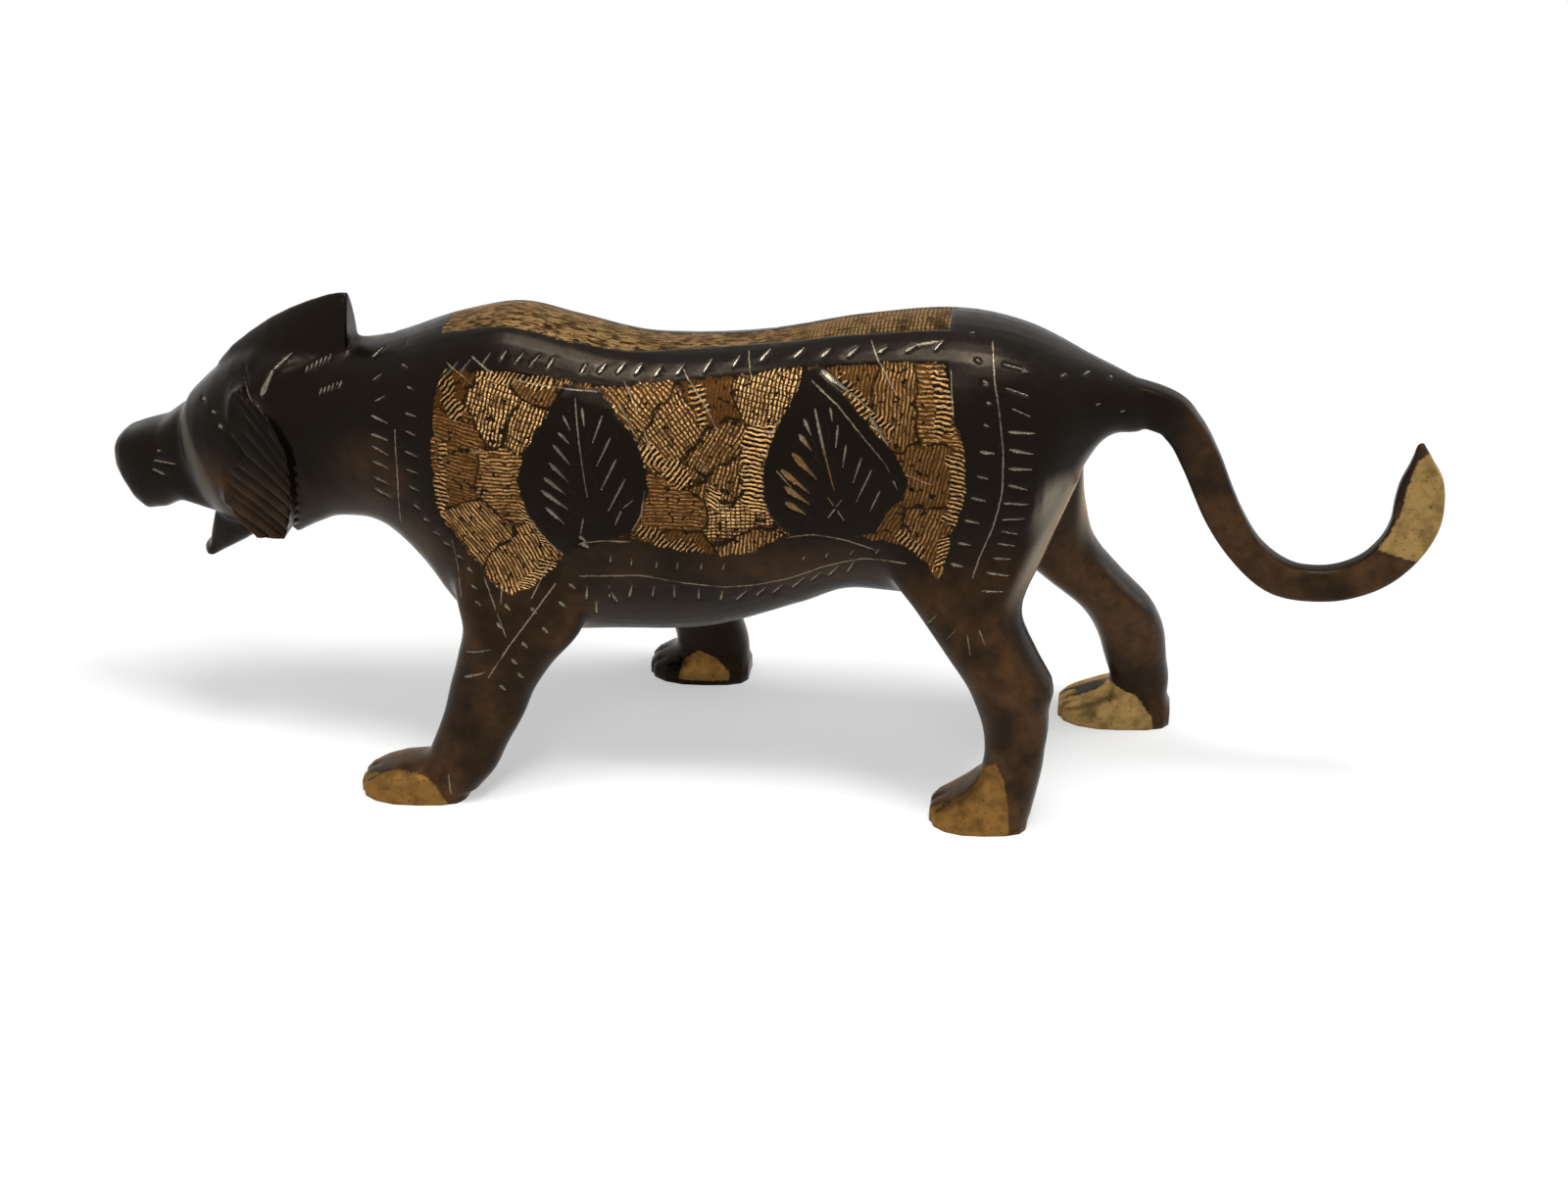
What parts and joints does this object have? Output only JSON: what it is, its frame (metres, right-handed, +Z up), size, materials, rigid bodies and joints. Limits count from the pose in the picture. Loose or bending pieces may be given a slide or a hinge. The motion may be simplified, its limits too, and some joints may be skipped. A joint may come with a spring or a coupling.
{
  "type": "animal figurine",
  "caption": "Walking leopard cast in brass, with dark lacquer over engraved gold flanks, leaf ornament, swept ears and a tail that curls up to a leaf-shaped tip.",
  "frame": {"origin": "on the floor plane, under the centre of the figurine's bounding box", "axes": "+X from head to tail, +Y to the figurine's right side (the far side in the picture), +Z up"},
  "size_m": [0.28, 0.0714, 0.1047],
  "materials": {
    "lacquered_brass": "near-black brown lacquer, glossy, cut through to gold-coloured brass on the flanks, the spine, the paws and the tail tip"
  },
  "bodies": {
    "root": {"leopard": "lacquered_brass"}
  },
  "joints": []
}
